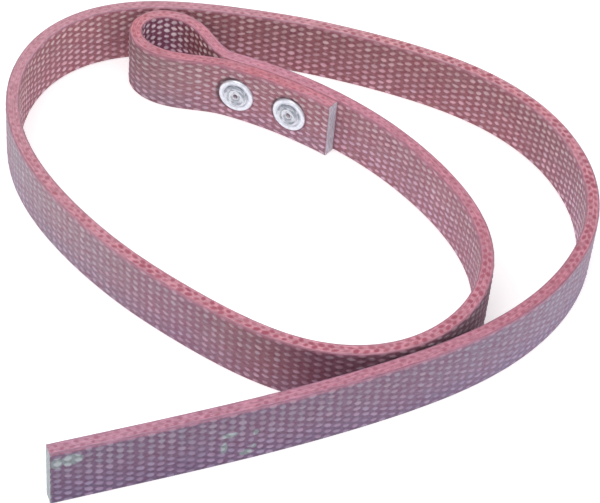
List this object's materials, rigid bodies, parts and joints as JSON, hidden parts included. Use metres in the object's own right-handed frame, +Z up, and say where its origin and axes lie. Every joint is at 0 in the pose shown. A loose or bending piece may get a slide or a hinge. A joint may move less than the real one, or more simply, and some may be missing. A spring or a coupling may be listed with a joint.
{
  "type": "woven belting strap with riveted hanging eye",
  "caption": "Coiled strap of solid-woven textile belting, one end folded into a riveted hanging eye, the other cut square, as used for a hanging strop.",
  "frame": {"origin": "centre of the coil's bounding box, on the surface the strap stands on", "axes": "+Z up across the strap's width, +Y away from the free end's side of the coil, +X to the right as seen with the eye at the back left"},
  "size_m": [0.2322, 0.2528, 0.025],
  "materials": {
    "woven_belting": "matt, rubber-impregnated solid weave",
    "rivet_metal": "satin, slightly worn"
  },
  "bodies": {
    "eye_end": {"strap_eye": "woven_belting", "rivet_1": "rivet_metal", "rivet_2": "rivet_metal", "burr_1": "rivet_metal", "burr_2": "rivet_metal"},
    "free_01": {"strap_01": "woven_belting"},
    "free_02": {"strap_02": "woven_belting"},
    "free_03": {"strap_03": "woven_belting"},
    "free_04": {"strap_04": "woven_belting"},
    "free_05": {"strap_05": "woven_belting"},
    "free_06": {"strap_06": "woven_belting"},
    "free_07": {"strap_07": "woven_belting"},
    "free_08": {"strap_08": "woven_belting"},
    "free_09": {"strap_09": "woven_belting"},
    "free_10": {"strap_10": "woven_belting"},
    "free_11": {"strap_11": "woven_belting"},
    "free_12": {"strap_12": "woven_belting"},
    "free_13": {"strap_13": "woven_belting"},
    "free_14": {"strap_14": "woven_belting"},
    "free_15": {"strap_15": "woven_belting"}
  },
  "joints": [
    {"name": "bend_01", "type": "hinge", "parent": "eye_end", "child": "free_01", "pos_m": [0.02325, 0.06731, 0.0125], "axis": [0, 0, 1], "range_deg": [0, 14.37]},
    {"name": "bend_02", "type": "hinge", "parent": "free_01", "child": "free_02", "pos_m": [0.07024, 0.00711, 0.0125], "axis": [0, 0, 1], "range_deg": [0, 14.37]},
    {"name": "bend_03", "type": "hinge", "parent": "free_02", "child": "free_03", "pos_m": [0.07034, -0.02927, 0.0125], "axis": [0, 0, 1], "range_deg": [0, 14.37]},
    {"name": "bend_04", "type": "hinge", "parent": "free_03", "child": "free_04", "pos_m": [0.0503, -0.05605, 0.0125], "axis": [0, 0, 1], "range_deg": [0, 14.37]},
    {"name": "bend_05", "type": "hinge", "parent": "free_04", "child": "free_05", "pos_m": [0.0202, -0.06522, 0.0125], "axis": [0, 0, 1], "range_deg": [0, 14.37]},
    {"name": "bend_06", "type": "hinge", "parent": "free_05", "child": "free_06", "pos_m": [-0.05304, -0.03103, 0.0125], "axis": [0, 0, 1], "range_deg": [0, 29.94]},
    {"name": "bend_07", "type": "hinge", "parent": "free_06", "child": "free_07", "pos_m": [-0.10658, 0.03192, 0.0125], "axis": [0, 0, 1], "range_deg": [0, 29.94]},
    {"name": "bend_08", "type": "hinge", "parent": "free_07", "child": "free_08", "pos_m": [-0.11294, 0.07295, 0.0125], "axis": [0, 0, 1], "range_deg": [0, 29.94]},
    {"name": "bend_09", "type": "hinge", "parent": "free_08", "child": "free_09", "pos_m": [-0.10195, 0.10155, 0.0125], "axis": [0, 0, 1], "range_deg": [0, 29.94]},
    {"name": "bend_10", "type": "hinge", "parent": "free_09", "child": "free_10", "pos_m": [-0.08079, 0.11782, 0.0125], "axis": [0, 0, 1], "range_deg": [0, 29.94]},
    {"name": "bend_11", "type": "hinge", "parent": "free_10", "child": "free_11", "pos_m": [-0.0116, 0.12172, 0.0125], "axis": [0, 0, 1], "range_deg": [0, 29.94]},
    {"name": "bend_12", "type": "hinge", "parent": "free_11", "child": "free_12", "pos_m": [0.08, 0.09118, 0.0125], "axis": [0, 0, 1], "range_deg": [0, 29.94]},
    {"name": "bend_13", "type": "hinge", "parent": "free_12", "child": "free_13", "pos_m": [0.10706, 0.05712, 0.0125], "axis": [0, 0, 1], "range_deg": [0, 29.94]},
    {"name": "bend_14", "type": "hinge", "parent": "free_13", "child": "free_14", "pos_m": [0.11295, 0.01803, 0.0125], "axis": [0, 0, 1], "range_deg": [0, 29.94]},
    {"name": "bend_15", "type": "hinge", "parent": "free_14", "child": "free_15", "pos_m": [0.0948, -0.02584, 0.0125], "axis": [0, 0, 1], "range_deg": [0, 29.94]}
  ],
  "couplings": [
    {"joint": "bend_01", "follows": "bend_06", "ratio": 0.48},
    {"joint": "bend_02", "follows": "bend_06", "ratio": 0.48},
    {"joint": "bend_03", "follows": "bend_06", "ratio": 0.48},
    {"joint": "bend_04", "follows": "bend_06", "ratio": 0.48},
    {"joint": "bend_05", "follows": "bend_06", "ratio": 0.48},
    {"joint": "bend_07", "follows": "bend_06", "ratio": 1},
    {"joint": "bend_08", "follows": "bend_06", "ratio": 1},
    {"joint": "bend_09", "follows": "bend_06", "ratio": 1},
    {"joint": "bend_10", "follows": "bend_06", "ratio": 1},
    {"joint": "bend_11", "follows": "bend_06", "ratio": 1},
    {"joint": "bend_12", "follows": "bend_06", "ratio": 1},
    {"joint": "bend_13", "follows": "bend_06", "ratio": 1},
    {"joint": "bend_14", "follows": "bend_06", "ratio": 1},
    {"joint": "bend_15", "follows": "bend_06", "ratio": 1}
  ]
}
